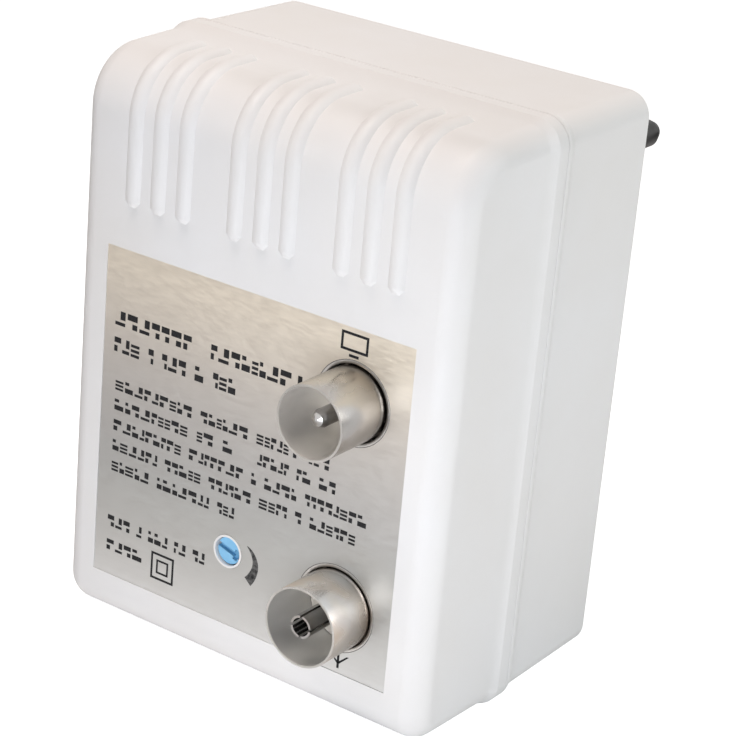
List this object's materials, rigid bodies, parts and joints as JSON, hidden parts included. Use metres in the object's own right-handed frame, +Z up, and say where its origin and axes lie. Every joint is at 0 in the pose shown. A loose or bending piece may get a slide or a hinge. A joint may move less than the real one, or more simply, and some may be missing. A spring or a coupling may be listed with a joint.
{
  "type": "plug-in aerial amplifier",
  "caption": "Plug-in mains aerial amplifier: moulded two-part case with plug pins behind, coaxial output and input sockets and a gain trimmer in front.",
  "frame": {"origin": "on the plug face, midway between the two plug pins", "axes": "+X to the right seen from the front, +Y back into the wall outlet along the plug pins, +Z up"},
  "size_m": [0.0592, 0.0854, 0.0779],
  "materials": {
    "case_white": "fine satin moulding",
    "label_aluminium": "brushed, printed",
    "nickel_plate": "dull nickel plating",
    "insulator_plastic": "moulded",
    "trimmer_base": "moulded",
    "trimmer_blue": "moulded",
    "tinned_wire": "bright tin",
    "tin_plate": "dull tin plate",
    "board_epoxy": "resin board",
    "black_epoxy": "moulded",
    "chip_ceramic": "fired",
    "ferrite": "fired",
    "capacitor_sleeve": "shrunk sleeve",
    "core_steel": "laminated, varnished",
    "bobbin_nylon": "moulded",
    "winding_tape": "tape over enamelled wire",
    "cutout_case": "moulded",
    "plug_brass": "nickel-plated brass",
    "sleeve_black": "moulded",
    "brown_wire": "insulated",
    "blue_wire": "insulated",
    "red_wire": "insulated",
    "zinc_screw": "zinc plated"
  },
  "bodies": {
    "case": {"front_shell": "case_white", "rear_shell": "case_white", "label_plate": "label_aluminium", "tv_socket_barrel": "nickel_plate", "aerial_socket_barrel": "nickel_plate", "tv_centre_pin": "nickel_plate", "aerial_centre_contact": "nickel_plate", "tv_socket_insulator": "insulator_plastic", "aerial_socket_insulator": "insulator_plastic", "gain_trimmer_body": "trimmer_base", "gain_trimmer_legs": "tinned_wire", "winding_tags": "tinned_wire", "shield_can": "tin_plate", "shield_cover": "tin_plate", "circuit_board": "board_epoxy", "amplifier_transistors": "black_epoxy", "bridge_rectifier": "black_epoxy", "voltage_regulator": "black_epoxy", "chip_resistors": "black_epoxy", "chip_capacitors": "chip_ceramic", "balun_core": "ferrite", "filter_chokes": "ferrite", "reservoir_capacitor": "capacitor_sleeve", "output_capacitor": "capacitor_sleeve", "transformer_core": "core_steel", "transformer_bobbin": "bobbin_nylon", "primary_winding": "winding_tape", "secondary_winding": "winding_tape", "thermal_cutout": "cutout_case", "live_pin": "plug_brass", "neutral_pin": "plug_brass", "pin_sleeves": "sleeve_black", "live_wire": "brown_wire", "neutral_wire": "blue_wire", "left_low_voltage_wire": "red_wire", "right_low_voltage_wire": "red_wire", "case_screws": "zinc_screw", "board_screws": "zinc_screw"},
    "gain_trimmer": {"gain_trimmer_rotor": "trimmer_blue"}
  },
  "joints": [
    {"name": "gain_adjust", "type": "hinge", "parent": "case", "child": "gain_trimmer", "pos_m": [-0.0017, -0.0545, -0.0429], "axis": [0, -1, 0], "range_deg": [-113.6, 146.4]}
  ]
}
